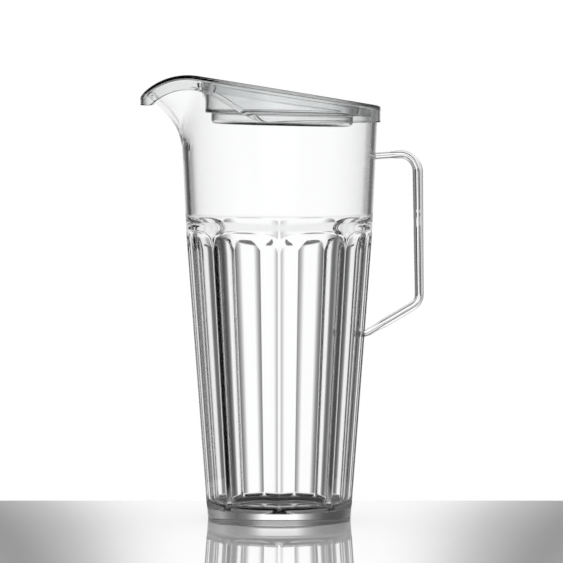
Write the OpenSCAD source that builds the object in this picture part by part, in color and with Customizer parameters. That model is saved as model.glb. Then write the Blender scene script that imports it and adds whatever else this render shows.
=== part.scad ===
// Lidded beer pitcher in clear plastic: a fluted jug with a spout, a bar handle bonded to its
// wall, and a lift-off lid with a sloping top, a hood over the spout and a round well.
// The jug stands on z = 0 round the z axis, with the handle towards +X and the spout towards -X.

/* [Jug wall] */
// Radius of the jug where it stands
foot_r = 47.4; // [42:0.1:52]
// Height of the plain round foot below the flutes
foot_h = 8; // [4:0.5:14]
// Rounding of the foot's lower edge
foot_round = 2.4; // [0.5:0.1:3.5]
// Radius over the ridges at the top of the flutes
shoulder_r = 61.1; // [57:0.1:63]
// Radius of the wall where the collar under the rim begins
collar_r = 64.7; // [63:0.1:66]
// Depth of the collar's lower edge below the lid's top
collar_drop = 25.3; // [24.5:0.1:32]
// Height of the collar, over which the wall comes to the rim's radius
collar_h = 3; // [1:0.5:3]
// Radius of the rim that the lid fits over
rim_r = 64.9; // [63:0.1:68]
// Thickness of the plain upper wall
wall = 3.6; // [2.4:0.1:4.5]
// Thickness of the floor
floor_t = 7.5; // [4:0.5:14]
// Rounding between floor and wall inside
floor_round = 6; // [2:0.5:12]

/* [Flutes] */
// Number of flutes round the jug
flutes = 8; // [6:1:12]
// Height of the flute tops at the ridges
flute_top = 185.6; // [160:0.2:200]
// Width of the ridge between two flutes
ridge_land = 2.4; // [1:0.1:5]
// Radius of the hollow run-out at the top of a flute
flute_runout = 7.6; // [6:0.1:10]
// Least thickness of the wall, at the middle of a flute
flute_wall = 2.4; // [1.6:0.1:4]
// Height over which the inside widens above the flutes
shoulder_blend = 16; // [8:1:30]

/* [Spout] */
// Depth of the place where the spout leaves the wall, below the lid's top
spout_drop = 40.8; // [35:0.1:55]
// Radius of the spout's keel as it bends outwards
spout_bend_r = 38; // [30:1:46]
// Lean of the keel beyond the bend, in degrees from upright
spout_lean = 47; // [35:1:52]
// Half width of the spout at the wall, one spout height above its root
spout_half_w = 34; // [26:0.5:36]
// Height above the root at which the half width is given
spout_h = 37.5; // [30:0.5:45]
// Roundness of the spout's nose, seen from above
spout_nose = 16; // [8:0.5:24]
// Thickness of the spout's wall
spout_wall = 3; // [2:0.1:4]

/* [Handle] */
// Depth of the upper arm's middle at the wall, below the lid's top
arm_drop = 44; // [36:0.1:60]
// Rise of the upper arm from the wall to the corner
arm_rise = 2; // [0:0.1:5]
// Distance from the jug's axis to the middle of the grip
grip_x = 91.8; // [84:0.1:105]
// Height of the lower corner, on the middle line
grip_low_z = 143.8; // [120:0.1:170]
// Slope of the lower arm, in degrees
arm_slope = 31.2; // [15:0.1:45]
// Radius of the upper bend, on the middle line
upper_bend_r = 11.5; // [8:0.1:18]
// Radius of the lower bend, on the middle line
lower_bend_r = 9.5; // [7:0.1:18]
// Thickness of the grip, seen from the side
grip_t = 7.4; // [5:0.1:10]
// Thickness of the two arms, seen from the side
arm_t = 5.8; // [4:0.1:8]
// Thickness of the necks where the arms meet the wall
neck_t = 4.4; // [3:0.1:6]
// Length of a neck from the wall outwards
neck_l = 8; // [4:0.5:14]
// Width of the bar's flat faces
bar_w = 11; // [8:0.5:20]
// Height of the ridge along each side of the bar
bar_ridge = 1.2; // [0:0.1:3]

/* [Lid] */
// Height of the lid's flat top on the jug's axis
top_z = 284.3; // [278:0.1:292]
// Fall of the lid's top and of the rim towards the handle, in degrees
top_fall = 9.24; // [5:0.01:12]
// Thickness of the lid's top
plate_t = 2; // [1.2:0.1:3]
// Thickness of the outer lip
lip_t = 1.75; // [1.2:0.05:3]
// Depth of the outer lip at the back, above the handle
lip_back = 11; // [6:0.1:16]
// Depth of the outer lip where its lower edge turns up at the sides
lip_side = 20; // [12:0.1:22]
// Distance in front of the axis where the lip's lower edge turns up
lip_turn = 6; // [0:0.5:20]
// Distance in front of the axis where the lower edge joins the hood's lip
lip_front = 58; // [50:0.5:60]
// Clearance between the lid's lip and the jug's collar
lid_gap = 0.35; // [0.3:0.05:0.8]
// Clearance between the lid's top and the jug's rim
seat_gap = 0.3; // [0.2:0.05:0.6]
// Distance in front of the axis where the hood starts to curve down
hood_start = 52.5; // [46:0.5:58]
// Radius of the hood's top, seen from the side
hood_r = 44; // [40:0.5:50]
// Depth of the hood's lip along its sides
hood_lip = 9.8; // [6:0.1:14]
// Depth of the hood's lip at its tip
hood_tip_lip = 6; // [4:0.1:10]
// Gap for pouring between the spout's tip and the hood
pour_gap = 2.3; // [1:0.1:5]
// Depth of the locating skirt inside the rim
skirt_h = 7; // [4:0.1:10]
// Thickness of the locating skirt
skirt_t = 1.7; // [1.2:0.1:3]
// Clearance between the skirt and the inside of the jug
skirt_gap = 0.6; // [0.4:0.05:1.5]
// Half angle of the opening in the skirt at the spout, in degrees
skirt_open = 36; // [34:1:60]

/* [Lid well] */
// Least distance between the locating skirt and the well
well_margin = 6.5; // [4:0.1:16]
// Offset of the well from the jug's axis, towards the handle
well_x = 2.7; // [0:0.1:5]
// Width of the step round the dish at the bottom of the well
step_w = 3.9; // [2.8:0.1:18]
// Depth of the dish below the well's step
dish_h = 7; // [3:0.1:9]
// Rounding of the dish's lower edge
dish_round = 3; // [0.5:0.1:3]
// Depth of the underside of the dish below the lid's top
dish_drop = 23.7; // [20:0.1:32]
// Tilt of the well's floor towards the handle, in degrees
well_tilt = 1.4; // [0:0.1:3]
// Thickness of the well's wall and floor
well_t = 1.8; // [1.2:0.1:3]

/* [Hidden] */
$fn = 128;
// How far a cut runs past the face it cuts
overrun = 1;
clear_plastic = [0.90, 0.92, 0.93, 0.45];
lid_plastic = [0.83, 0.87, 0.90, 0.45];
arc_steps = 6;
curve_steps = 14;
hood_steps = 28;
ring_half = 12;
loft_rings = 18;
// Part of the spout's height at which its loft begins, still inside the wall
loft_start_share = 0.004;
// Power by which the spout's half width grows with height
spout_flare_share = 0.4;
// Radius of the hood's nose as a share of the spout's half width
hood_nose_share = 0.65;

// Points along an arc round centre c
function arc(c, r, a0, a1, n = arc_steps) =
    [for (i = [0:n]) c + r * [cos(a0 + (a1 - a0) * i / n), sin(a0 + (a1 - a0) * i / n)]];

function lerp(a, b, t) = a + (b - a) * t;

function smooth(t) = let (u = min(max(t, 0), 1)) u * u * (3 - 2 * u);

// Heights that follow the lid's top
collar_z = top_z - collar_drop;
spout_root_z = top_z - spout_drop;
arm_z = top_z - arm_drop;
dish_z = top_z - dish_drop;

// Side view of the lid's top: a sloping line that runs into the hood's arc
fall_along = [cos(top_fall), -sin(top_fall)];
fall_normal = [sin(top_fall), cos(top_fall)];
hood_point = [-hood_start, top_z + hood_start * tan(top_fall)];
hood_centre = hood_point - hood_r * fall_normal;
hood_top_z = hood_centre.y + hood_r;
stock_z = hood_top_z + overrun;
// Reach of the cuts that run across the whole object, to each side of the axis
stock_reach = 2 * rim_r;

function top_at(x) = top_z - x * tan(top_fall);

// Radius of the jug's outside over the ridges, and of its plain wall above them
shoulder_z = flute_top + flute_runout;
function ridge_r(z) = lerp(foot_r, shoulder_r, z / flute_top);
function collar_at(z) = lerp(collar_r, rim_r, min((z - collar_z) / collar_h, 1));
function plain_r(z) =
    lerp(ridge_r(shoulder_z), collar_r, (z - shoulder_z) / (collar_z - shoulder_z));
function wall_r(z) = z < shoulder_z ? ridge_r(z) : z < collar_z ? plain_r(z) : collar_at(z);

// Distance from the axis to the middle of a flute, where the ridges stand at radius r
function flat_r(r) = sqrt(pow(r, 2) - pow(r * sin(180 / flutes) - ridge_land / 2, 2));

flute_low = [flat_r(ridge_r(foot_h)), foot_h];
flute_high = [flat_r(shoulder_r), flute_top];
flute_tilt = atan2(flute_high.x - flute_low.x, flute_high.y - flute_low.y);
runout_centre = flute_high + flute_runout * [cos(flute_tilt), -sin(flute_tilt)];
flute_far = runout_centre.x + flute_runout;
flute_w = 2 * shoulder_r * tan(180 / flutes);
flute_profile = concat(
    [flute_low],
    arc(runout_centre, flute_runout, 180 - flute_tilt, 90, curve_steps),
    [[flute_far, runout_centre.y + flute_runout], [flute_far, foot_h]]
);

function inner_r(z) =
    lerp(flute_low.x, flute_high.x, (z - foot_h) / (flute_top - foot_h)) - flute_wall;

foot_centre = [ridge_r(foot_round) - foot_round, foot_round];
floor_centre = [inner_r(floor_t + floor_round) - floor_round, floor_t + floor_round];
blend_z = flute_top + shoulder_blend;

outside_profile = concat(
    [[0, 0]],
    arc(foot_centre, foot_round, -90, 0),
    [
        [ridge_r(shoulder_z), shoulder_z],
        [collar_r, collar_z],
        [rim_r, collar_z + collar_h],
        [rim_r, stock_z],
        [0, stock_z]
    ]
);

inside_profile = concat(
    [[0, floor_t]],
    arc(floor_centre, floor_round, -90, 0),
    [
        [inner_r(flute_top), flute_top],
        [wall_r(blend_z) - wall, blend_z],
        [collar_r - wall, collar_z],
        [rim_r - wall, collar_z + collar_h],
        [rim_r - wall, stock_z + overrun],
        [0, stock_z + overrun]
    ]
);

// The keel bends out of the wall on an arc and then runs straight. Depth is measured inwards from its outside.
keel_start = atan2(collar_r - ridge_r(shoulder_z), collar_z - shoulder_z);
keel_centre = [
    wall_r(spout_root_z) + spout_bend_r * cos(keel_start),
    spout_root_z - spout_bend_r * sin(keel_start)
];

function keel_bend(depth) =
    keel_centre + (spout_bend_r + depth) * [-cos(spout_lean), sin(spout_lean)];

function keel(z, depth) =
    let (
        bend = keel_bend(depth),
        r = spout_bend_r + depth,
        up = max(z - keel_centre.y, 0)
    )
    z < bend.y ? keel_centre.x - sqrt(pow(r, 2) - pow(up, 2)) : bend.x + (z - bend.y) * tan(spout_lean);

function spout_w(z, depth) =
    max(spout_half_w * pow((z - spout_root_z) / spout_h, spout_flare_share) - depth, ridge_land);

// One level section of the spout: a rounded vee from the wall to the keel, closed inside the jug
function spout_ring(z, depth) =
    let (
        w = spout_w(z, depth),
        root = sqrt(pow(wall_r(z) - wall / 2 - depth, 2) - pow(w, 2)),
        tip = keel(z, depth),
        steep = (tip - root) / (sqrt(pow(w, 2) + pow(spout_nose, 2)) - spout_nose)
    )
    concat(
        [
            for (i = [-ring_half:ring_half])
                let (y = w * i / ring_half)
                [-tip + steep * (sqrt(pow(y, 2) + pow(spout_nose, 2)) - spout_nose), y, z]
        ],
        [[-root + wall, w, z], [-root + wall, -w, z]]
    );

// Where the straight part of the keel meets the rim's arc
rim_arc_r = hood_r - plate_t - seat_gap;
keel_run = [sin(spout_lean), cos(spout_lean)];
keel_from = keel_bend(0) - [-hood_centre.x, hood_centre.y];
keel_reach = sqrt(pow(keel_from * keel_run, 2) - keel_from * keel_from + pow(rim_arc_r, 2));
spout_tip = keel_bend(0).x + (keel_reach - keel_from * keel_run) * sin(spout_lean);

// Plan of the lid's inside: the rim's circle with a round nose in front
lid_r = rim_r + lid_gap;
nose_r = spout_half_w * hood_nose_share;
nose_x = spout_tip + pour_gap - nose_r;
lid_far = nose_x + nose_r + lip_t;
plan_normal = [-(lid_r - nose_r) / nose_x, sqrt(1 - pow((lid_r - nose_r) / nose_x, 2))];

// Lower edge of the lid's lip: level at the back and sides, then rising to the hood
lip_back_x = lid_r + lip_t;
lip_back_z = top_at(lip_back_x) - lip_back;
lip_side_z = top_at(-lip_turn) - lip_side;
lip_front_z = hood_centre.y + hood_r - hood_lip;
hood_tip_z = hood_centre.y + sqrt(pow(hood_r, 2) - pow(lid_far + hood_centre.x, 2)) - hood_tip_lip;
lip_edge = [
    for (i = [0:curve_steps])
        let (t = i / curve_steps)
        [-lerp(lip_turn, lip_front, t), lerp(lip_side_z, lip_front_z, smooth(t))]
];

skirt_r = rim_r - wall - skirt_gap;
well_r = skirt_r - skirt_t - well_margin - well_x;
dish_r = well_r - step_w;

// The handle's middle line: upper arm, upper bend, grip, lower bend, lower arm
arm_angle = atan2(arm_rise, grip_x - wall_r(arm_z));
upper_corner = [grip_x, arm_z + arm_rise];
lower_corner = [grip_x, grip_low_z];
upper_turn = 90 + arm_angle;
lower_turn = 90 - arm_slope;
upper_set = upper_bend_r * tan(upper_turn / 2);
lower_set = lower_bend_r * tan(lower_turn / 2);
upper_in = upper_corner - upper_set * [cos(arm_angle), sin(arm_angle)];
upper_centre = [grip_x - upper_bend_r, upper_corner.y - upper_set];
lower_centre = [grip_x - lower_bend_r, grip_low_z + lower_set];
lower_out = lower_corner - lower_set * [cos(arm_slope), sin(arm_slope)];
arm_start = wall_r(arm_z) - wall / 2;
arm_l = (upper_in.x - arm_start) / cos(arm_angle);
slope_end = [cos(arm_slope), sin(arm_slope)];
low_root_z = grip_low_z - (grip_x - ridge_r(grip_low_z)) * tan(arm_slope);
low_l = (lower_out.x - ridge_r(low_root_z) + wall / 2) / cos(arm_slope);

// Stations along the bar, each with its middle point, the direction across the bar and its thickness
function arm_thick(d) = lerp(neck_t, arm_t, smooth((d - neck_l) / neck_l));
handle_stations = concat(
    [
        for (i = [0:curve_steps])
            let (d = arm_l * i / curve_steps)
            [[arm_start, arm_z] + d * [cos(arm_angle), sin(arm_angle)], 90 + arm_angle, arm_thick(d)]
    ],
    [
        for (i = [1:curve_steps])
            let (t = i / curve_steps, a = (90 + arm_angle) * (1 - t))
            [upper_centre + upper_bend_r * [cos(a), sin(a)], a, lerp(arm_t, grip_t, smooth(t))]
    ],
    [
        for (i = [0:curve_steps])
            let (t = i / curve_steps, a = -lower_turn * t)
            [lower_centre + lower_bend_r * [cos(a), sin(a)], a, lerp(grip_t, arm_t, smooth(t))]
    ],
    [
        for (i = [1:curve_steps])
            let (d = low_l * i / curve_steps)
            [lower_out - d * slope_end, -lower_turn, arm_thick(low_l - d)]
    ]
);

// Six-sided section of the bar: flat faces inside and outside, a low ridge along each side
function bar_ring(s) =
    let (out = [cos(s[1]), sin(s[1])], half = bar_w / 2, side = half + bar_ridge)
    [
        for (p = [[1, half], [0, side], [-1, half], [-1, -half], [0, -side], [1, -half]])
            let (q = s[0] + out * p.x * s[2] / 2)
            [q.x, p.y, q.y]
    ];

// A closed skin through rings of equal count
module loft(rings) {
    n = len(rings[0]);
    m = len(rings);
    points = [for (ring = rings) each ring];
    sides = [
        for (j = [0:m - 2], i = [0:n - 1])
            let (a = j * n + i, b = j * n + (i + 1) % n)
            each [[a, b, b + n], [a, b + n, a + n]]
    ];
    low_cap = [for (i = [n - 1:-1:0]) i];
    high_cap = [for (i = [0:n - 1]) (m - 1) * n + i];
    polyhedron(points, concat([low_cap], sides, [high_cap]));
}

// Everything under the lid's top line, let down by drop, as a bar across the object
module under_top(drop) {
    far = hood_point - drop * fall_normal + (hood_start + stock_reach) * fall_along;
    rotate([90, 0, 0])
        linear_extrude(height = 2 * stock_reach, center = true)
            polygon(concat(
                [far],
                arc(hood_centre, hood_r - drop, 90 - top_fall, 180, hood_steps),
                [[-stock_reach, hood_centre.y], [-stock_reach, -overrun], [far.x, -overrun]]
            ));
}

module flute_cutters() {
    for (i = [0:flutes - 1])
        rotate([90, 0, (i + 1 / 2) * 360 / flutes])
            linear_extrude(height = flute_w, center = true)
                polygon(flute_profile);
}

module fluted_outside() {
    difference() {
        rotate_extrude()
            polygon(outside_profile);
        flute_cutters();
    }
}

module spout_form(depth) {
    loft([
        for (i = [0:loft_rings])
            let (t = lerp(loft_start_share, 1, i / loft_rings))
            spout_ring(lerp(spout_root_z, stock_z + depth, t), depth)
    ]);
}

module jug_body() {
    color(clear_plastic)
        intersection() {
            difference() {
                union() {
                    fluted_outside();
                    spout_form(0);
                }
                rotate_extrude()
                    polygon(inside_profile);
                spout_form(spout_wall);
            }
            under_top(plate_t + seat_gap);
        }
}

module handle() {
    color(clear_plastic)
        difference() {
            loft([for (s = handle_stations) bar_ring(s)]);
            fluted_outside();
        }
}

module lid_plan(grow) {
    r = lid_r + grow;
    n = nose_r + grow;
    across = [plan_normal.x, -plan_normal.y];
    nose = [-nose_x, 0];
    circle(r = r);
    translate(nose)
        circle(r = n);
    polygon([r * plan_normal, nose + n * plan_normal, nose + n * across, r * across]);
}

// Removes what lies below the lower edge of the lip
module below_lip() {
    rotate([90, 0, 0])
        linear_extrude(height = 2 * stock_reach, center = true) {
            polygon(concat(
                [[lip_back_x + overrun, -overrun], [lip_back_x + overrun, lip_back_z]],
                lip_edge,
                [[-lip_front, hood_tip_z], [-lid_far - overrun, hood_tip_z], [-lid_far - overrun, -overrun]]
            ));
            intersection() {
                translate(hood_centre)
                    circle(r = hood_r - hood_lip);
                translate([-lid_far - overrun, 0])
                    square([lid_far + overrun - lip_front, stock_z]);
            }
        }
}

module lid_cap() {
    difference() {
        intersection() {
            linear_extrude(height = stock_z)
                lid_plan(lip_t);
            under_top(0);
        }
        intersection() {
            translate([0, 0, -overrun])
                linear_extrude(height = stock_z + overrun)
                    lid_plan(0);
            under_top(plate_t);
        }
        below_lip();
    }
}

module lid_skirt() {
    difference() {
        intersection() {
            linear_extrude(height = stock_z)
                difference() {
                    circle(r = skirt_r);
                    circle(r = skirt_r - skirt_t);
                    polygon([
                        [0, 0],
                        stock_reach * [-cos(skirt_open), sin(skirt_open)],
                        [-stock_reach, 0],
                        stock_reach * [-cos(skirt_open), -sin(skirt_open)]
                    ]);
                }
            under_top(plate_t / 2);
        }
        under_top(plate_t + skirt_h);
    }
}

// Profile of the well, made smaller by a wall thickness for its inside
module well_form(t, tall) {
    c = [dish_r - dish_round, dish_round];
    translate([well_x, 0, dish_z])
        rotate([0, well_tilt, 0])
            rotate_extrude()
                polygon(concat(
                    [[0, t]],
                    arc(c, dish_round - t, -90, 0),
                    [[dish_r - t, dish_h + t], [well_r - t, dish_h + t], [well_r - t, tall], [0, tall]]
                ));
}

module lid() {
    color(lid_plastic)
        difference() {
            union() {
                lid_cap();
                lid_skirt();
                intersection() {
                    well_form(0, stock_z - dish_z);
                    under_top(plate_t / 2);
                }
            }
            well_form(well_t, stock_z - dish_z + overrun);
        }
}

jug_body();
handle();
lid();
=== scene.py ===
import bpy
import bmesh
import math
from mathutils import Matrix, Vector


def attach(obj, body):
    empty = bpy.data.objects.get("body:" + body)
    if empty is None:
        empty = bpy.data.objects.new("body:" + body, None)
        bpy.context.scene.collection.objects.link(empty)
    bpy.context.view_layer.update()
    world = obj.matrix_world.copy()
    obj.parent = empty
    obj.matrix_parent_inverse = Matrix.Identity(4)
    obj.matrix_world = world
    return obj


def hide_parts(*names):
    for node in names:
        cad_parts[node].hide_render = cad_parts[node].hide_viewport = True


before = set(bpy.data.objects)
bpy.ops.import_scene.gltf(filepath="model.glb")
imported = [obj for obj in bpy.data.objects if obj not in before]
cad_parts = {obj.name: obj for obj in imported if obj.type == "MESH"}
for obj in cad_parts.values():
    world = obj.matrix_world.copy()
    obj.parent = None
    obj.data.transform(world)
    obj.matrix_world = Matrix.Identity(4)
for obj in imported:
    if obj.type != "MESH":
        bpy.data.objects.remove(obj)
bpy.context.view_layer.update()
scene = bpy.context.scene
mm = 0.001
print("frame loaded:", sorted(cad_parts))


def lerp(a, b, t):
    return a + (b - a) * t


def mix(p, q, t):
    return tuple(lerp(a, b, t) for a, b in zip(p, q))


def clamp(t):
    return min(max(t, 0.0), 1.0)


def ease(t):
    u = clamp(t)
    return u * u * (3 - 2 * u)


# the smaller or larger of two, with the corner rounded over a width
def softMin(a, b, width):
    near = max(width - abs(a - b), 0.0) / width
    return min(a, b) - near * near * width / 4


def softMax(a, b, width):
    return -softMin(-a, -b, width)


# even shares from first / count up to 1
def parts(count, first=0):
    return [i / count for i in range(first, count + 1)]


def towards(start, distance, angle):
    return start[0] + distance * math.cos(angle), start[1] + distance * math.sin(angle)


def arcPoints(cx, cy, r, a0, a1, steps):
    return [towards((cx, cy), r, math.radians(lerp(a0, a1, t))) for t in parts(steps)]


# evenly spaced points along a path given as many small steps
def evenAlong(path, count):
    run = [0.0]
    for p, q in zip(path, path[1:]):
        run.append(run[-1] + math.dist(p, q))
    out, k = [], 0
    for share in parts(count - 1):
        want = run[-1] * share
        while k < len(run) - 2 and run[k + 1] < want:
            k += 1
        out.append(mix(path[k], path[k + 1], (want - run[k]) / (run[k + 1] - run[k])))
    return out


# the highest value for which a test still holds
def lastTrue(test, low, high, rounds=40):
    for _ in range(rounds):
        middle = (low + high) / 2
        if test(middle):
            low = middle
        else:
            high = middle
    return low


# a loop is drawn and filled once, then its face is pulled out ring by ring
def pullLoops(name, rings):
    bpy.ops.mesh.primitive_circle_add(vertices=len(rings[0]))
    obj = bpy.context.object
    obj.name = name
    bpy.ops.object.mode_set(mode="EDIT")
    mesh = bmesh.from_edit_mesh(obj.data)
    station = mesh.verts.layers.int.new("station")
    for v in mesh.verts:
        v[station] = v.index
        v.co = Vector(rings[0][v.index]) * mm
    bpy.ops.mesh.select_all(action="SELECT")
    bpy.ops.mesh.edge_face_add()
    for ring in rings[1:]:
        bpy.ops.mesh.extrude_region()
        mesh = bmesh.from_edit_mesh(obj.data)
        station = mesh.verts.layers.int["station"]
        for v in mesh.verts:
            if v.select:
                v.co = Vector(ring[v[station]]) * mm
    bmesh.update_edit_mesh(obj.data)
    bpy.ops.mesh.select_all(action="SELECT")
    bpy.ops.mesh.normals_make_consistent(inside=False)
    bpy.ops.object.mode_set(mode="OBJECT")
    obj.data.attributes.remove(obj.data.attributes["station"])
    obj.location = (0, 0, 0)
    return obj


def finishPiece(obj, angle, material, body, node, evenFlats=False):
    bpy.ops.object.select_all(action="DESELECT")
    obj.select_set(True)
    bpy.context.view_layer.objects.active = obj
    bpy.ops.object.shade_smooth_by_angle(angle=math.radians(angle))
    if evenFlats:
        bpy.ops.object.modifier_add(type="WEIGHTED_NORMAL")
        obj.modifiers[-1].keep_sharp = True
        bpy.ops.object.modifier_apply(modifier=obj.modifiers[-1].name)
    obj.data.materials.clear()
    obj.data.materials.append(material)
    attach(obj, body)
    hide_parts(node)
    print("made", obj.name, len(obj.data.polygons), "faces")


# each input of a node is set to a value or joined to another node's output
def feed(tree, node, inputs):
    for key, value in inputs.items():
        if hasattr(value, "is_output"):
            tree.links.new(value, node.inputs[key])
        else:
            node.inputs[key].default_value = value


def addNode(tree, kind, inputs=None):
    node = tree.nodes.new(kind)
    feed(tree, node, inputs or {})
    return node


def mathNode(tree, kind, *values):
    node = tree.nodes.new("ShaderNodeMath")
    node.operation = kind
    feed(tree, node, dict(enumerate(values)))
    return node.outputs["Value"]


# one range of values turned into another, along an eased or a straight line
def rangeNode(tree, value, low, high, toLow, toHigh, eased=True):
    node = tree.nodes.new("ShaderNodeMapRange")
    node.interpolation_type = "SMOOTHSTEP" if eased else "LINEAR"
    feed(tree, node, {"Value": value, "From Min": low, "From Max": high, "To Min": toLow, "To Max": toHigh})
    return node.outputs["Result"]


# camera at the photograph's place, a long lens a little above the jug, in metres and degrees
cameraSet = {
    "away": 2.5, "height": 0.2848, "aside": 0.0015, "pitch": 2.919,
    "lens": 242.2, "sensor": 36.0, "sight": 50,
}

cameraData = bpy.data.cameras.new("photoLens")
cameraData.lens = cameraSet["lens"]
cameraData.sensor_width = cameraSet["sensor"]
cameraData.clip_end = cameraSet["sight"]
camera = bpy.data.objects.new("photoCamera", cameraData)
camera.location = (cameraSet["aside"], -cameraSet["away"], cameraSet["height"])
camera.rotation_euler = (math.radians(90 - cameraSet["pitch"]), 0, 0)
scene.collection.objects.link(camera)
scene.camera = camera
print("camera placed")


marksSet = {
    "hazeFrom": 0.45, "hazeFull": 0.8, "hazeDetail": 3.0,
    "waveStretch": (1.0, 1.0, 0.25), "waveScale": 22.0, "waveDetail": 1.0,
    "scuff": 0.3, "scuffFull": 0.0002, "scuffEnd": 0.0005,
}


# fine handling marks and moulding waves shared by the clear plastics
def makeHandlingMarks(wear):
    group = bpy.data.node_groups.new("handlingMarks", "ShaderNodeTree")
    for side, names in (("INPUT", ("Gloss", "Haze", "Grain")), ("OUTPUT", ("Roughness", "Height"))):
        for name in names:
            group.interface.new_socket(name=name, in_out=side, socket_type="NodeSocketFloat")
    given = addNode(group, "NodeGroupInput").outputs
    place = addNode(group, "ShaderNodeTexCoord").outputs["Object"]
    cloud = addNode(group, "ShaderNodeTexNoise", {
        "Vector": place, "Scale": given["Grain"], "Detail": wear["hazeDetail"]})
    haze = rangeNode(group, cloud.outputs["Fac"], wear["hazeFrom"], wear["hazeFull"],
                     given["Gloss"], given["Haze"], False)
    stretch = addNode(group, "ShaderNodeMapping", {"Vector": place, "Scale": wear["waveStretch"]})
    wave = addNode(group, "ShaderNodeTexNoise", {
        "Vector": stretch.outputs["Vector"], "Scale": wear["waveScale"], "Detail": wear["waveDetail"]})
    # scuffs where a piece stands on the table
    height = addNode(group, "ShaderNodeSeparateXYZ", {"Vector": place}).outputs["Z"]
    scuff = rangeNode(group, height, wear["scuffFull"], wear["scuffEnd"], wear["scuff"], 0.0, False)
    addNode(group, "NodeGroupOutput", {
        "Roughness": mathNode(group, "MAXIMUM", scuff, haze), "Height": wave.outputs["Fac"]})
    return group


plasticSet = {
    "index": 1.585,
    "jugColour": (0.998, 1.0, 1.0),
    "lidColour": (0.992, 0.997, 1.0),
    "jugMarks": {"gloss": 0.0, "haze": 0.012, "grain": 70.0, "wave": 0.003, "shine": 0.2},
    "lidMarks": {"gloss": 0.0, "haze": 0.02, "grain": 90.0, "wave": 0.004, "shine": 0.5},
    "lidDepth": {"colour": (0.3, 0.3, 0.28), "density": 40.0},
}


def makeClear(name, colour, marks, markSet):
    material = bpy.data.materials.new(name)
    material.use_nodes = True
    tree = material.node_tree
    worn = tree.nodes.new("ShaderNodeGroup")
    worn.node_tree = marks
    feed(tree, worn, {"Gloss": markSet["gloss"], "Haze": markSet["haze"], "Grain": markSet["grain"]})
    bump = addNode(tree, "ShaderNodeBump", {
        "Height": worn.outputs["Height"], "Strength": markSet["wave"], "Distance": mm})
    shine = markSet["shine"]
    feed(tree, tree.nodes["Principled BSDF"], {
        "Base Color": (*colour, 1.0), "Transmission Weight": 1.0, "IOR": plasticSet["index"],
        "Specular Tint": (shine, shine, shine, 1.0),
        "Roughness": worn.outputs["Roughness"], "Normal": bump.outputs["Normal"]})
    return material


marks = makeHandlingMarks(marksSet)
clearPlastic = makeClear("clearPlastic", plasticSet["jugColour"], marks, plasticSet["jugMarks"])
lidPlastic = makeClear("lidPlastic", plasticSet["lidColour"], marks, plasticSet["lidMarks"])

# the lid's tint deepens with thickness, so its edges are darker than its faces
lidTree = lidPlastic.node_tree
lidDepth = addNode(lidTree, "ShaderNodeVolumeAbsorption", {
    "Color": (*plasticSet["lidDepth"]["colour"], 1.0), "Density": plasticSet["lidDepth"]["density"]})
feed(lidTree, lidTree.nodes["Material Output"], {"Volume": lidDepth.outputs["Volume"]})
print("materials made")


# side view of the sloping top, shared by the rim and the lid, in millimetres
topSet = {"z": 284.28, "fall": 9.24, "hoodStart": 52.5, "hoodR": 44.0}
fallAngle = math.radians(topSet["fall"])
hoodPoint = (-topSet["hoodStart"], topSet["z"] + topSet["hoodStart"] * math.tan(fallAngle))
hoodX = hoodPoint[0] - topSet["hoodR"] * math.sin(fallAngle)
hoodZ = hoodPoint[1] - topSet["hoodR"] * math.cos(fallAngle)


# height of the sloping top at x, or of a surface that lies a drop below it
def topLine(x, drop):
    r = topSet["hoodR"] - drop
    turn = hoodX + r * math.sin(fallAngle)
    if x > turn:
        return hoodZ + r * math.cos(fallAngle) - (x - turn) * math.tan(fallAngle)
    return hoodZ + math.sqrt(max(r * r - (x - hoodX) ** 2, 0.0))


# the jug, in millimetres and degrees
jugSet = {
    "footR": 47.4, "footTop": 8.0, "footRound": 0.6, "cove": 5.4,
    "leanFrom": 178.1, "leanOver": 4.5, "lean": 0.15, "archFrom": 187.2, "archR": 5.8,
    "ridgeR": 61.1, "fluteTop": 185.6, "runout": 7.6, "ridgeLand": 0.8, "ridgeSoft": 0.22, "flutes": 8,
    "collarR": 64.7, "collarZ": 259.0, "collarH": 3.0,
    "rimR": 64.9, "rimDrop": 2.3, "rimRound": 0.7, "rimNick": 0.2, "rimBetween": (255.0, 293.0),
    "wall": 3.6, "fluteWall": 2.4, "floorT": 7.5, "floorRound": 6.0, "blendLow": 187.5, "blendHigh": 202.5,
    "spoutRoot": 243.5, "spoutBend": 38.0, "spoutLean": 47.0, "spoutHalfW": 40.0, "spoutH": 37.5,
    "spoutFlare": 0.4, "spoutNose": 16.0, "spoutWall": 3.0, "spoutLeast": 2.4, "spoutPast": 14.0,
    "spoutSkip": 0.2, "creaseSoft": 2.2, "creaseRise": 12.0, "creaseLeast": 0.02,
    # rows of points on the outside and the inside: from which height, to which, and how many
    "footRows": (5.6, 16.0, 30), "fluteRows": (18.0, 176.0, 12), "archRows": (176.0, 194.0, 30),
    "wallRows": (196.0, 243.0, 7), "spoutRows": 34,
    "insideRows": 5, "blendRows": (208.0, 182.0, 26), "lowRows": 12,
    "fineSteps": 240, "footSteps": 8, "floorSteps": 9, "endRing": 3.0, "smooth": 50,
    # degrees from a ridge to the points across half a flute
    "fromRidge": (0, 0.18, 0.36, 0.54, 0.75, 1.1, 1.8, 3.2, 5.2, 7.4, 9.8, 12.2, 14.6, 17.2, 19.8),
}
jug = jugSet
shoulderZ = jug["fluteTop"] + jug["runout"]


# radius over the ridges between the flutes
def ridgeR(z):
    return lerp(jug["footR"], jug["ridgeR"], z / jug["fluteTop"])


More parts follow.
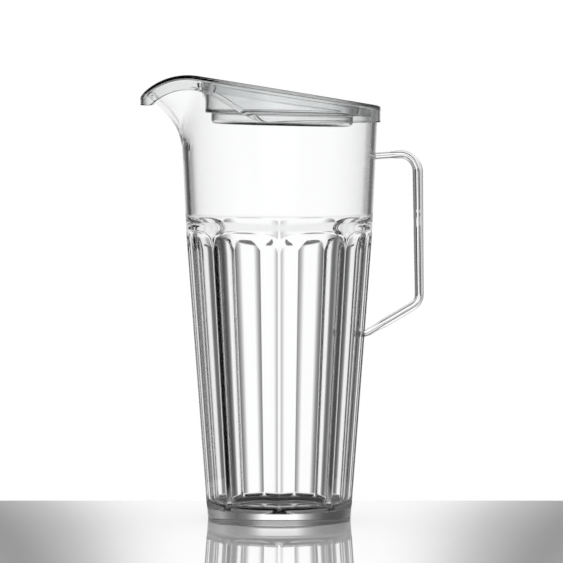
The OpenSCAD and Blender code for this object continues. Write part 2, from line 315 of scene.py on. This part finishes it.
# radius of the round wall, before flutes and spout
def wallR(z):
    if z < shoulderZ:
        return ridgeR(z)
    if z < jug["collarZ"]:
        return lerp(ridgeR(shoulderZ), jug["collarR"], (z - shoulderZ) / (jug["collarZ"] - shoulderZ))
    return lerp(jug["collarR"], jug["rimR"], min((z - jug["collarZ"]) / jug["collarH"], 1.0))


# distance from the axis to the middle of a flat between two ridges
def flatR(r):
    half = r * math.sin(math.pi / jug["flutes"]) - jug["ridgeLand"] / 2
    return math.sqrt(r * r - half * half)


lowFlat, highFlat = flatR(ridgeR(jug["footTop"])), flatR(jug["ridgeR"])


def flatAt(z):
    return lerp(lowFlat, highFlat, (z - jug["footTop"]) / (jug["fluteTop"] - jug["footTop"]))


# distance of a flute's face from the axis, curving out to the wall at its foot and its top
def fluteN(z):
    deep = max(jug["footTop"] + jug["cove"] - z, 0.0)
    foot = jug["cove"] - math.sqrt(jug["cove"] ** 2 - deep * deep)
    rise, over = max(z - jug["leanFrom"], 0.0), jug["leanOver"]
    lean = jug["lean"] * (min(rise, over) ** 2 / (2 * over) + max(rise - over, 0.0))
    up = min(max(z - jug["archFrom"], 0.0), jug["archR"])
    arch = jug["archR"] - math.sqrt(jug["archR"] ** 2 - up * up)
    return flatAt(z) + foot + lean + arch


keelStart = math.atan2(jug["collarR"] - ridgeR(shoulderZ), jug["collarZ"] - shoulderZ)
keelX = wallR(jug["spoutRoot"]) + jug["spoutBend"] * math.cos(keelStart)
keelZ = jug["spoutRoot"] - jug["spoutBend"] * math.sin(keelStart)
keelLean = math.radians(jug["spoutLean"])


# the spout's middle line: a bend out of the wall, then straight up to the tip
def keelAt(z, depth):
    r = jug["spoutBend"] + depth
    bendX, bendZ = keelX - r * math.cos(keelLean), keelZ + r * math.sin(keelLean)
    if z < bendZ:
        return keelX - math.sqrt(r * r - max(z - keelZ, 0.0) ** 2)
    return bendX + (z - bendZ) * math.tan(keelLean)


# radius of the spout's rounded vee in the direction psi, counted from the spout's middle
def spoutR(psi, z, depth):
    up = z - jug["spoutRoot"]
    if up <= jug["spoutSkip"]:
        return 0.0
    w = max(jug["spoutHalfW"] * (up / jug["spoutH"]) ** jug["spoutFlare"] - depth, jug["spoutLeast"])
    if abs(psi) > math.asin(w / wallR(z)) + math.radians(jug["spoutPast"]):
        return 0.0
    root = math.sqrt((wallR(z) - jug["wall"] / 2 - depth) ** 2 - w * w)
    tip, nose = keelAt(z, depth), jug["spoutNose"]
    steep = (tip - root) / (math.hypot(w, nose) - nose)

    def inside(r):
        return r * math.cos(psi) + steep * (math.hypot(r * math.sin(psi), nose) - nose) < tip

    return lastTrue(inside, 0.0, tip + 1)


# rounding of the crease beside the spout, which fades out at the spout's root
def creaseAt(z):
    return max(jug["creaseSoft"] * ease((z - jug["spoutRoot"]) / jug["creaseRise"]), jug["creaseLeast"])


# radius of a wall where the spout opens out of it
def withSpout(r, theta, z, depth):
    if z <= jug["spoutRoot"]:
        return r
    psi = math.remainder(theta - math.pi, 2 * math.pi)
    return softMax(r, spoutR(psi, z, depth), creaseAt(z))


def outerR(theta, z):
    r = wallR(z)
    if jug["footTop"] <= z < shoulderZ:
        step = 2 * math.pi / jug["flutes"]
        u = theta % step - step / 2
        r = softMin(r, fluteN(z) / math.cos(u), jug["ridgeSoft"])
    return withSpout(r, theta, z, 0.0)


# radius inside, which changes from the fluted part's to the upper wall's
def plainInner(z):
    t = ease((z - jug["blendLow"]) / (jug["blendHigh"] - jug["blendLow"]))
    return lerp(flatAt(z) - jug["fluteWall"], wallR(z) - jug["wall"], t)


def innerR(theta, z):
    return withSpout(plainInner(z), theta, z, jug["spoutWall"])


# height where a wall meets the sloping top
def rimZ(theta, radius):
    def under(z):
        return z < topLine(radius(theta, z) * math.cos(theta), jug["rimDrop"])

    return lastTrue(under, *jug["rimBetween"])


# points on a wall from one height to just before another
def wallPoints(radius, theta, start, end, count):
    return [(radius(theta, z), z) for z in (lerp(start, end, t) for t in parts(count)[:-1])]


# points on the outside at even distances along its curve
def evenWall(theta, start, end, count):
    fine = wallPoints(outerR, theta, start, end, jug["fineSteps"])
    return evenAlong(fine + [(outerR(theta, end), end)], count)


# one upright section of the jug, from the middle of the underside round to the middle of the floor
def jugSection(theta):
    foot = jug["footRound"]
    footR = ridgeR(foot) - foot
    path = [(footR - jug["endRing"], 0.0)]
    path += arcPoints(footR, foot, foot, -90, 0, jug["footSteps"])
    path += evenWall(theta, *jug["footRows"])
    path += wallPoints(outerR, theta, *jug["fluteRows"])
    path += evenWall(theta, *jug["archRows"])
    path += wallPoints(outerR, theta, *jug["wallRows"])
    spoutFrom, edge, nick = jug["wallRows"][1], jug["rimRound"], jug["rimNick"]
    outZ, inZ = rimZ(theta, outerR), rimZ(theta, innerR)
    outRim, inRim = outerR(theta, outZ), innerR(theta, inZ)
    path += wallPoints(outerR, theta, spoutFrom, outZ - edge, jug["spoutRows"])
    path += [(outerR(theta, outZ - edge), outZ - edge), (outRim - nick, outZ - nick)]
    path += [(r, topLine(r * math.cos(theta), jug["rimDrop"])) for r in (outRim - edge, inRim + edge)]
    path += [(inRim + nick, inZ - nick)]
    path += wallPoints(innerR, theta, inZ - edge, spoutFrom, jug["spoutRows"])
    blendTop, blendFoot, _ = jug["blendRows"]
    floorZ = jug["floorT"] + jug["floorRound"]
    path += wallPoints(innerR, theta, spoutFrom, blendTop, jug["insideRows"])
    path += wallPoints(innerR, theta, *jug["blendRows"])
    path += wallPoints(innerR, theta, blendFoot, floorZ, jug["lowRows"])
    floorR = plainInner(floorZ) - jug["floorRound"]
    path += arcPoints(floorR, floorZ, jug["floorRound"], 0, -90, jug["floorSteps"])
    path += [(floorR - jug["endRing"], jug["floorT"])]
    return [(r * math.cos(theta), r * math.sin(theta), z) for r, z in path]


fluteStep = 360 / jug["flutes"]
offsets = list(jug["fromRidge"]) + [fluteStep / 2] + [fluteStep - a for a in reversed(jug["fromRidge"][1:])]
jugAngles = [math.radians(k * fluteStep + a) for k in range(jug["flutes"]) for a in offsets]
jugBody = pullLoops("jugBody", list(zip(*[jugSection(theta) for theta in jugAngles])))
finishPiece(jugBody, jug["smooth"], clearPlastic, "jug", "jug_body")


# the handle's bar, in millimetres and degrees
handleSet = {
    "armZ": 240.3, "armRise": 2.0, "gripX": 91.8, "lowZ": 143.8, "slope": 31.2,
    "upperBend": 11.5, "lowerBend": 9.5, "gripTop": 6.8, "gripLow": 5.8, "lean": 0.7,
    "armT": 5.4, "neckT": 4.4, "neckL": 8.0, "width": 11.0, "ridge": 0.75, "cornerRound": 0.5,
    "seamHalf": 0.36, "seamUp": 0.4, "wallGap": 0.12, "steps": 14, "cornerSteps": 4, "smooth": 30,
    "acrossFace": (0.25, 0.455, 0.5, 0.545, 0.75), "endRings": (0.1, 0.4, 0.7),
}
bar = handleSet
armAngle = math.atan2(bar["armRise"], bar["gripX"] - wallR(bar["armZ"]))
lowAngle = math.radians(bar["slope"])
upperTurn, lowerTurn = math.pi / 2 + armAngle, math.pi / 2 - lowAngle
upperSet = bar["upperBend"] * math.tan(upperTurn / 2)
lowerSet = bar["lowerBend"] * math.tan(lowerTurn / 2)
upperCorner = (bar["gripX"], bar["armZ"] + bar["armRise"])
lowerCorner = (bar["gripX"], bar["lowZ"])
upperIn = towards(upperCorner, -upperSet, armAngle)
upperMid = (bar["gripX"] - bar["upperBend"], upperCorner[1] - upperSet)
lowerMid = (bar["gripX"] - bar["lowerBend"], bar["lowZ"] + lowerSet)
lowerOut = towards(lowerCorner, -lowerSet, lowAngle)


# x of the jug's outside beside the handle's ends
def wallX(y, z):
    x = wallR(z)
    for _ in range(8):  # settles in a few rounds
        r = outerR(math.atan2(y, x), z)
        x = math.sqrt(r * r - y * y)
    return x


# thickness of an arm at a distance from the wall, with a neck beside it
def barThick(d):
    return lerp(bar["neckT"], bar["armT"], ease((d - bar["neckL"]) / bar["neckL"]))


# rounded six-sided section of the bar, as distances across and along its width
def barSection(thick):
    half, side, t = bar["width"] / 2, bar["width"] / 2 + bar["ridge"], thick / 2
    corners = [(t, half), (0, side), (-t, half), (-t, -half), (0, -side), (t, -half)]
    out = []
    for i, c in enumerate(corners):
        before, after = corners[i - 1], corners[(i + 1) % len(corners)]
        onRidge = c[0] == 0
        cut = bar["seamHalf"] if onRidge else bar["cornerRound"]
        p = mix(c, before, cut / math.dist(c, before))
        q = mix(c, after, cut / math.dist(c, after))
        for u in parts(bar["cornerSteps"]):
            if onRidge:
                # a raised mould line runs along each ridge
                seam = c[1] + math.copysign(bar["seamUp"], c[1])
                x, y = mix(p, q, u)
                out.append((x, lerp(y, seam, 1 - abs(2 * u - 1))))
            else:
                out.append(mix(mix(p, c, u), mix(c, q, u), u))
        # points across the two broad faces, so that the ends can follow the wall
        if after[0] == c[0]:
            out += [(c[0], lerp(q[1], -q[1], f)) for f in bar["acrossFace"]]
    return out


# points round the bar: the grip leans a little, and an end lies along the wall
def barRing(mid, turn, thick, onWall=False, share=1.0):
    ring = []
    for across, along in barSection(thick):
        x, z = towards(mid, across * share, turn)
        y = along * share
        if onWall:
            x = wallX(y, z) + bar["wallGap"]
        else:
            out = ease((x - wallR(z)) / (bar["gripX"] - wallR(z)))
            up = clamp((z - bar["lowZ"]) / (bar["armZ"] - bar["lowZ"]))
            x += bar["lean"] * out * lerp(1.0, -1.0, up)
        ring.append((x, y, z))
    return ring


# stations along the bar: its middle, the direction across it, its thickness, and whether it meets the wall
stations = []
armStart = (wallR(bar["armZ"]), bar["armZ"])
armL = (upperIn[0] - armStart[0]) / math.cos(armAngle)
rootZ = bar["lowZ"] - (bar["gripX"] - ridgeR(bar["lowZ"])) * math.tan(lowAngle)
lowL = (lowerOut[0] - ridgeR(rootZ)) / math.cos(lowAngle)
for t in parts(bar["steps"]):
    stations.append((towards(armStart, armL * t, armAngle), upperTurn, barThick(armL * t), t == 0))
for t in parts(bar["steps"], 1):
    a, thick = upperTurn * (1 - t), lerp(bar["armT"], bar["gripTop"], ease(t))
    stations.append((towards(upperMid, bar["upperBend"], a), a, thick, False))
for t in parts(bar["steps"]):
    a, thick = -lowerTurn * t, lerp(bar["gripLow"], bar["armT"], ease(t))
    stations.append((towards(lowerMid, bar["lowerBend"], a), a, thick, False))
for t in parts(bar["steps"], 1):
    d = lowL * t
    stations.append((towards(lowerOut, -d, lowAngle), -lowerTurn, barThick(lowL - d), t == 1))
# both ends are closed by rings that lie against the wall
upperEnd = [(*stations[0], share) for share in bar["endRings"]]
lowerEnd = [(*stations[-1], share) for share in reversed(bar["endRings"])]
handleBar = pullLoops("handleBar", [barRing(*place) for place in upperEnd + stations + lowerEnd])
finishPiece(handleBar, bar["smooth"], clearPlastic, "jug", "handle", True)


# the lid, in millimetres and degrees
lidSet = {
    "plateT": 2.0, "lipT": 1.72, "lipBack": 11.0, "lipSide": 22.6, "lipTurn": 6.0, "lipFront": 58.0,
    "lidGap": 0.35, "hoodLip": 9.8, "tipLip": 6.0, "tipSoft": 1.0,
    "pourGap": 2.3, "noseR": 26.2, "spoutTip": 87.6,
    "edgeRound": 1.5, "edgeIn": 0.6, "lowEdge": 0.5, "lowNick": 0.15,
    "skirtH": 7.0, "skirtT": 1.7, "skirtGap": 0.6, "skirtOpen": 36.0, "skirtFade": 1.2,
    "skirtRoot": 0.1, "skirtClosed": 0.3, "skirtBefore": 0.5, "skirtAfter": 0.6,
    "wellR": 50.8, "wellX": 1.7, "wellT": 1.8, "wellTilt": 1.4, "wellRound": 0.8, "wellUp": 20.0,
    "brimRound": 1.4, "brimFlat": 1.0, "stepIn": 0.7, "stepUnder": 0.6,
    "dishR": 46.9, "dishH": 7.0, "dishRound": 3.0, "dishZ": 260.6, "dishRing": 38.0,
    # points round the corners under the plate: how far out and how far down
    "lipCornerR": 0.8, "lipCorner": ((-0.1, 0.4), (-0.35, 0.12)),
    "wellCorner": ((0.7, 0.0), (0.15, 0.2), (0.0, 0.7)),
    # numbers of steps round the plan and along the section
    "backSteps": 104, "sideSteps": 30, "noseSteps": 28,
    "plateSteps": 16, "underSteps": 14, "lipSteps": 7, "wellSteps": 5, "dishSteps": 3,
    "roundSteps": 4, "brimSteps": 6, "edgeSteps": 8, "smooth": 40,
}
lid = lidSet
lidR = jug["rimR"] + lid["lidGap"]
noseR = lid["noseR"]
noseX = lid["spoutTip"] + lid["pourGap"] - noseR
lidFar = noseX + noseR + lid["lipT"]
sideNormal = math.acos(-(lidR - noseR) / noseX)
backX = lidR + lid["lipT"]
backZ = topLine(backX, 0.0) - lid["lipBack"]
sideZ = topLine(-lid["lipTurn"], 0.0) - lid["lipSide"]
frontR = topSet["hoodR"] - lid["hoodLip"]
frontZ = hoodZ + frontR
tipZ = hoodZ + math.sqrt(topSet["hoodR"] ** 2 - (lidFar + hoodX) ** 2) - lid["tipLip"]
wellLean = math.radians(lid["wellTilt"])

# outline of the skirt, as radius and depth under the plate, down its outside and up its inside
skirtR = jug["rimR"] - jug["wall"] - lid["skirtGap"]
skirtIn = skirtR - lid["skirtT"]
skirtHalf = [(lid["skirtRoot"], lid["skirtRoot"])]
skirtHalf += [(0.0, down) for down in (lid["lowEdge"], lid["skirtH"] / 2, lid["skirtH"] - lid["lowEdge"])]
skirtHalf += [(-lid["lowNick"], lid["skirtH"] - lid["lowNick"]), (-lid["lowEdge"], lid["skirtH"])]
skirtLine = [(skirtR + out, down) for out, down in skirtHalf]
skirtLine += [(skirtIn - out, down) for out, down in reversed(skirtHalf)]


# lower edge of the lip: nearly level at the back, rising in a wave to the hood
def lipLow(x):
    if x > -lid["lipTurn"]:
        return lerp(sideZ, backZ, (x + lid["lipTurn"]) / (backX + lid["lipTurn"]))
    if x > -lid["lipFront"]:
        return lerp(sideZ, frontZ, ease((-x - lid["lipTurn"]) / (lid["lipFront"] - lid["lipTurn"])))
    return softMax(hoodZ + math.sqrt(max(frontR ** 2 - (x - hoodX) ** 2, 0.0)), tipZ, lid["tipSoft"])


# stations round the lid's plan: (centre x, radius, direction of the outward normal)
sideWalk = [(-noseX * t, lerp(lidR, noseR, t)) for t in parts(lid["sideSteps"], 1)]
noseTurn = (sideNormal, 2 * math.pi - sideNormal)
planStations = [(0.0, lidR, lerp(-sideNormal, sideNormal, t)) for t in parts(lid["backSteps"])]
planStations += [(*place, sideNormal) for place in sideWalk]
planStations += [(-noseX, noseR, lerp(*noseTurn, t)) for t in parts(lid["noseSteps"], 1)]
planStations += [(*place, -sideNormal) for place in reversed(sideWalk[:-1])]


# one section of the lid, from the dish's floor over the top and the lip to the dish's underside
def lidSection(centre, radius, normal):
    def plan(grow):
        return towards((centre, 0.0), radius + grow, normal)

    aimX, aimY = plan(0.0)
    wellAim, rimAim = math.atan2(aimY, aimX - lid["wellX"]), math.atan2(aimY, aimX)

    def well(r, up):
        x, y = r * math.cos(wellAim), r * math.sin(wellAim)
        return (lid["wellX"] + x * math.cos(wellLean) + up * math.sin(wellLean), y,
                lid["dishZ"] - x * math.sin(wellLean) + up * math.cos(wellLean))

    def wellArc(r, up, size, a0, a1, steps=lid["roundSteps"]):
        return [well(*p) for p in arcPoints(r, up, size, a0, a1, steps)]

    # a point of the well's wall, under the plate's top or underside
    def wellUnder(r, drop, below):
        up = lid["wellUp"]
        for _ in range(4):  # settles in a few rounds
            x, y, z = well(r, up)
            up += topLine(x, drop) - below - z
        return well(r, up)

    # points on the plate's top or underside, between two places of the plan
    def onPlate(start, goal, drop, shares):
        return [(x, y, topLine(x, drop)) for x, y in (mix(start[:2], goal[:2], t) for t in shares)]

    # inside of the well, up to its brim
    t, dishRound, wellRound, brim = lid["wellT"], lid["dishRound"], lid["wellRound"], lid["brimRound"]
    dishIn, wellIn, stepUp, stepIn = lid["dishR"] - t, lid["wellR"] - t, lid["dishH"] + t, lid["stepIn"]
    out = [well(lid["dishRing"], t)]
    out += wellArc(dishIn - dishRound + t, dishRound, dishRound - t, -90, 0)
    out += [well(dishIn, lerp(dishRound, stepUp - stepIn, a)) for a in parts(lid["dishSteps"], 1)]
    out += wellArc(dishIn + stepIn, stepUp - stepIn, stepIn, 180, 90)[1:]
    out += wellArc(wellIn - wellRound, stepUp + wellRound, wellRound, -90, 0)
    low, high = well(wellIn, stepUp + wellRound), wellUnder(wellIn, 0.0, brim)
    out += [mix(low, high, a) for a in parts(lid["wellSteps"], 1)[:-1]]
    brimArc = arcPoints(0, 0, brim, 0, 90, lid["brimSteps"])
    out += [wellUnder(wellIn + brim - r, 0.0, brim - up) for r, up in brimArc]
    out.append(wellUnder(wellIn + brim + lid["brimFlat"], 0.0, 0.0))

    # top of the plate, its rounded edge, and the lip down its outside and up its inside
    lipT, plateT, corner = lid["lipT"], lid["plateT"], lid["lipCornerR"]
    edgeR, lowEdge, nick = lid["edgeRound"], lid["lowEdge"], lid["lowNick"]
    lipShares = parts(lid["lipSteps"])
    out += onPlate(out[-1], plan(lipT - edgeR - lid["edgeIn"]), 0.0, parts(lid["plateSteps"], 1))
    for grow, up in arcPoints(-edgeR, -edgeR, edgeR, 90, 0, lid["edgeSteps"])[:-1]:
        x, y = plan(lipT + grow)
        out.append((x, y, topLine(x, 0.0) + up))
    x, y = plan(lipT)
    out += [(x, y, lerp(topLine(x, 0.0) - edgeR, lipLow(x) + lowEdge, a)) for a in lipShares]
    for grow, up in ((lipT - nick, nick), (lipT - lowEdge, 0.0), (lowEdge, 0.0), (nick, nick)):
        x, y = plan(grow)
        out.append((x, y, lipLow(x) + up))
    x, y = plan(0.0)
    out += [(x, y, lerp(lipLow(x) + lowEdge, topLine(x, plateT) - corner, a)) for a in lipShares]
    for grow, down in (*lid["lipCorner"], (-corner, 0.0)):
        x, y = plan(grow)
        out.append((x, y, topLine(x, plateT) - down))

    # underside of the plate, with the skirt hanging from it except in its gap at the spout
    skirtStart = towards((0, 0), skirtR + lid["skirtBefore"], rimAim)
    skirtEnd = towards((0, 0), skirtIn - lid["skirtAfter"], rimAim)
    out += onPlate(plan(-corner), skirtStart, plateT, parts(lid["underSteps"], 1))
    away = math.degrees(abs(math.remainder(rimAim - math.pi, 2 * math.pi)))
    hang = ease((away - lid["skirtOpen"]) / lid["skirtFade"])
    for a, (r, down) in zip(parts(len(skirtLine) - 1), skirtLine):
        closedR = lerp(skirtR + lid["skirtClosed"], skirtIn - lid["skirtClosed"], a)
        x, y = towards((0, 0), lerp(closedR, r, hang), rimAim)
        out.append((x, y, topLine(x, plateT) - down * hang))

    # outside of the well, down to the dish's underside
    wellR, dishR, dishH, stepUnder = lid["wellR"], lid["dishR"], lid["dishH"], lid["stepUnder"]
    wellJoin = [wellUnder(wellR + grow, plateT, down) for grow, down in lid["wellCorner"]]
    wellStart, wellBend, wellTop = wellJoin
    out += onPlate(skirtEnd, wellStart, plateT, parts(lid["wellSteps"]))
    out.append(wellBend)
    out += [mix(wellTop, well(wellR, dishH + wellRound), a) for a in parts(lid["wellSteps"])]
    out += wellArc(wellR - wellRound, dishH + wellRound, wellRound, 0, -90)[1:]
    out += wellArc(dishR + stepUnder, dishH - stepUnder, stepUnder, 90, 180)
    out.append(well(dishR, (dishH - stepUnder + dishRound) / 2))
    out += wellArc(dishR - dishRound, dishRound, dishRound, 0, -90, lid["edgeSteps"])
    out.append(well(lid["dishRing"], 0.0))
    return out


pouringLid = pullLoops("pouringLid", list(zip(*[lidSection(*place) for place in planStations])))
finishPiece(pouringLid, lid["smooth"], lidPlastic, "lid", "lid", True)


# table whose far edge lies just behind the jug, as in the photograph, in metres
tableSet = {
    "halfW": 1.6, "near": -1.8, "far": 0.1127, "drop": 0.0004, "widen": 1.3, "rough": 0.5,
    "polish": 0.7, "polishIn": 0.07, "polishOut": 0.17, "polishRough": 0.01,
    "grazeFrom": 0.45, "grazeFull": 0.86,
    # painted shade: grey bands at the table's sides, between the pale middle and the pale far sides
    "tone": 1.0, "sidePaintedShade": 0.22, "sideIn": 0.055, "sideFull": 0.27, "toneFront": -0.5,
    "pale": 0.85, "paleFrom": 0.2, "paleFull": 0.36,
    # a painted contact shadow, dark right under the jug
    "contact": 0.0455, "contactSoft": 0.004, "contactPaintedShadow": 0.02,
    # painted shade on the table as seen through the plastic: dark near the jug, paler towards the handle's
    # side
    "throughPaintedShade": 0.7, "throughShadeFrom": 0.06, "throughShadeTo": 0.3, "openFrom": 0.06, "openFull": 0.1,
}


def makePaleTable(look):
    material = bpy.data.materials.new("paleTable")
    material.use_nodes = True
    tree = material.node_tree
    place = addNode(tree, "ShaderNodeTexCoord").outputs["Object"]
    split = addNode(tree, "ShaderNodeSeparateXYZ", {"Vector": place}).outputs
    through = addNode(tree, "ShaderNodeLightPath").outputs["Is Transmission Ray"]
    length = tree.nodes.new("ShaderNodeVectorMath")
    length.operation = "LENGTH"
    feed(tree, length, {0: place})
    reach = length.outputs["Value"]

    # distance aside, which counts for more towards the front
    nearer = mathNode(tree, "MULTIPLY_ADD", split["Y"], -look["widen"], 1 + look["widen"] * look["far"])
    aside = mathNode(tree, "MULTIPLY", mathNode(tree, "ABSOLUTE", split["X"]), nearer)

    # pale in the middle, at the far sides and in front, with painted shade in grey bands between, and a
    # painted contact shadow right under the jug
    sidePaintedShade = rangeNode(tree, aside, look["sideIn"], look["sideFull"], look["tone"], look["sidePaintedShade"])
    paleTone = rangeNode(tree, aside, look["paleFrom"], look["paleFull"], sidePaintedShade, look["pale"])
    frontTone = rangeNode(tree, split["Y"], look["toneFront"] / 2, look["toneFront"], paleTone, look["tone"])
    contactIn = look["contact"] - look["contactSoft"]
    paintedShadeTone = rangeNode(tree, reach, contactIn, look["contact"], look["contactPaintedShadow"], frontTone)

    # seen through the plastic the table is painted dark as shade near the jug, and paler towards the
    # handle's side
    throughPaintedShade = rangeNode(tree, split["X"], look["throughShadeFrom"], look["throughShadeTo"], look["contactPaintedShadow"], look["throughPaintedShade"])
    shader = tree.nodes["Principled BSDF"]
    feed(tree, shader, {
        "Base Color": rangeNode(tree, through, 0.0, 1.0, paintedShadeTone, throughPaintedShade, False),
        "Roughness": look["rough"], "Specular IOR Level": 0.0})

    # near the jug the table mirrors it at a low angle
    facing = addNode(tree, "ShaderNodeLayerWeight").outputs["Facing"]
    grazing = rangeNode(tree, facing, look["grazeFrom"], look["grazeFull"], 0.0, 1.0, False)
    polish = rangeNode(tree, aside, look["polishIn"], look["polishOut"], look["polish"], 0.0)
    mirror = addNode(tree, "ShaderNodeBsdfGlossy", {"Color": (1, 1, 1, 1), "Roughness": look["polishRough"]})
    polished = addNode(tree, "ShaderNodeMixShader", {
        "Fac": mathNode(tree, "MULTIPLY", polish, grazing),
        1: shader.outputs["BSDF"], 2: mirror.outputs["BSDF"]})

    # away from the jug the plastic shows the backdrop in place of the table
    clear = addNode(tree, "ShaderNodeBsdfTransparent")
    shown = addNode(tree, "ShaderNodeMixShader", {
        "Fac": rangeNode(tree, reach, look["openFrom"], look["openFull"], 0.0, through),
        1: polished.outputs["Shader"], 2: clear.outputs["BSDF"]})
    feed(tree, tree.nodes["Material Output"], {"Surface": shown.outputs["Shader"]})
    return material


bpy.ops.mesh.primitive_plane_add(size=1)
table = bpy.context.object
table.name = "tableTop"
for v, (x, y) in zip(table.data.vertices, ((-1, 0), (1, 0), (-1, 1), (1, 1))):
    v.co = (x * tableSet["halfW"], lerp(tableSet["near"], tableSet["far"], y), -tableSet["drop"])
table.data.materials.append(makePaleTable(tableSet))


# for rays off or through the plastic: a white backdrop behind the jug, dim sides, a pale room in
# front, a dim ceiling, and a pale ground that is dim straight below
worldSet = {
    "light": 1.0, "ceiling": 0.2, "upFrom": 0.26, "upFull": 0.38,
    "under": 0.88, "downFrom": -0.18, "downFull": -0.25, "deep": 0.25, "deepFrom": -0.5, "deepFull": -0.65,
    "bounces": 32, "glossyBounces": 16,
    # degrees from the backdrop's middle and the brightness there
    "round": ((-180, 1.0), (-165, 1.0), (-150, 0.0), (-105, 0.0), (-60, 0.0), (-45, 0.05), (-30, 0.08),
              (-22, 0.18), (-16, 0.45), (-10, 1.0), (10, 1.0), (13, 0.7), (16, 0.4), (20, 0.2), (28, 0.12),
              (36, 0.2), (45, 0.35), (60, 0.2), (75, 0.06), (100, 0.1), (125, 1.0), (180, 1.0)),
}
room = worldSet
world = bpy.data.worlds.new("studioRing")
scene.world = world
world.use_nodes = True
sky = world.node_tree
skyCoords = addNode(sky, "ShaderNodeTexCoord").outputs["Generated"]
skyWay = addNode(sky, "ShaderNodeSeparateXYZ", {"Vector": skyCoords}).outputs
aroundAngle = mathNode(sky, "ARCTAN2", skyWay["X"], skyWay["Y"])
roundRamp = addNode(sky, "ShaderNodeValToRGB", {
    "Fac": mathNode(sky, "MULTIPLY_ADD", aroundAngle, 0.5 / math.pi, 0.5)})
stops = roundRamp.color_ramp.elements
for i, (angle, level) in enumerate(room["round"]):
    place = (angle + 180) / 360
    stop = stops[i] if i < 2 else stops.new(place)  # a new ramp has two stops
    stop.position = place
    stop.color = (level, level, level, 1)
above = rangeNode(sky, skyWay["Z"], room["upFrom"], room["upFull"],
                  roundRamp.outputs["Color"], room["ceiling"])
below = rangeNode(sky, skyWay["Z"], room["deepFrom"], room["deepFull"], room["under"], room["deep"])
dome = rangeNode(sky, skyWay["Z"], room["downFrom"], room["downFull"], above, below)
rays = addNode(sky, "ShaderNodeLightPath").outputs
byPlastic = mathNode(sky, "MAXIMUM", rays["Is Glossy Ray"], rays["Is Transmission Ray"])
lit = mathNode(sky, "MULTIPLY_ADD", byPlastic, mathNode(sky, "SUBTRACT", dome, room["light"]), room["light"])
feed(sky, sky.nodes["Background"], {
    "Color": (1, 1, 1, 1), "Strength": mathNode(sky, "MAXIMUM", lit, rays["Is Camera Ray"])})

scene.view_settings.view_transform = "Standard"
scene.cycles.max_bounces = room["bounces"]
scene.cycles.transmission_bounces = room["bounces"]
scene.cycles.glossy_bounces = room["glossyBounces"]
print("stage and light set")
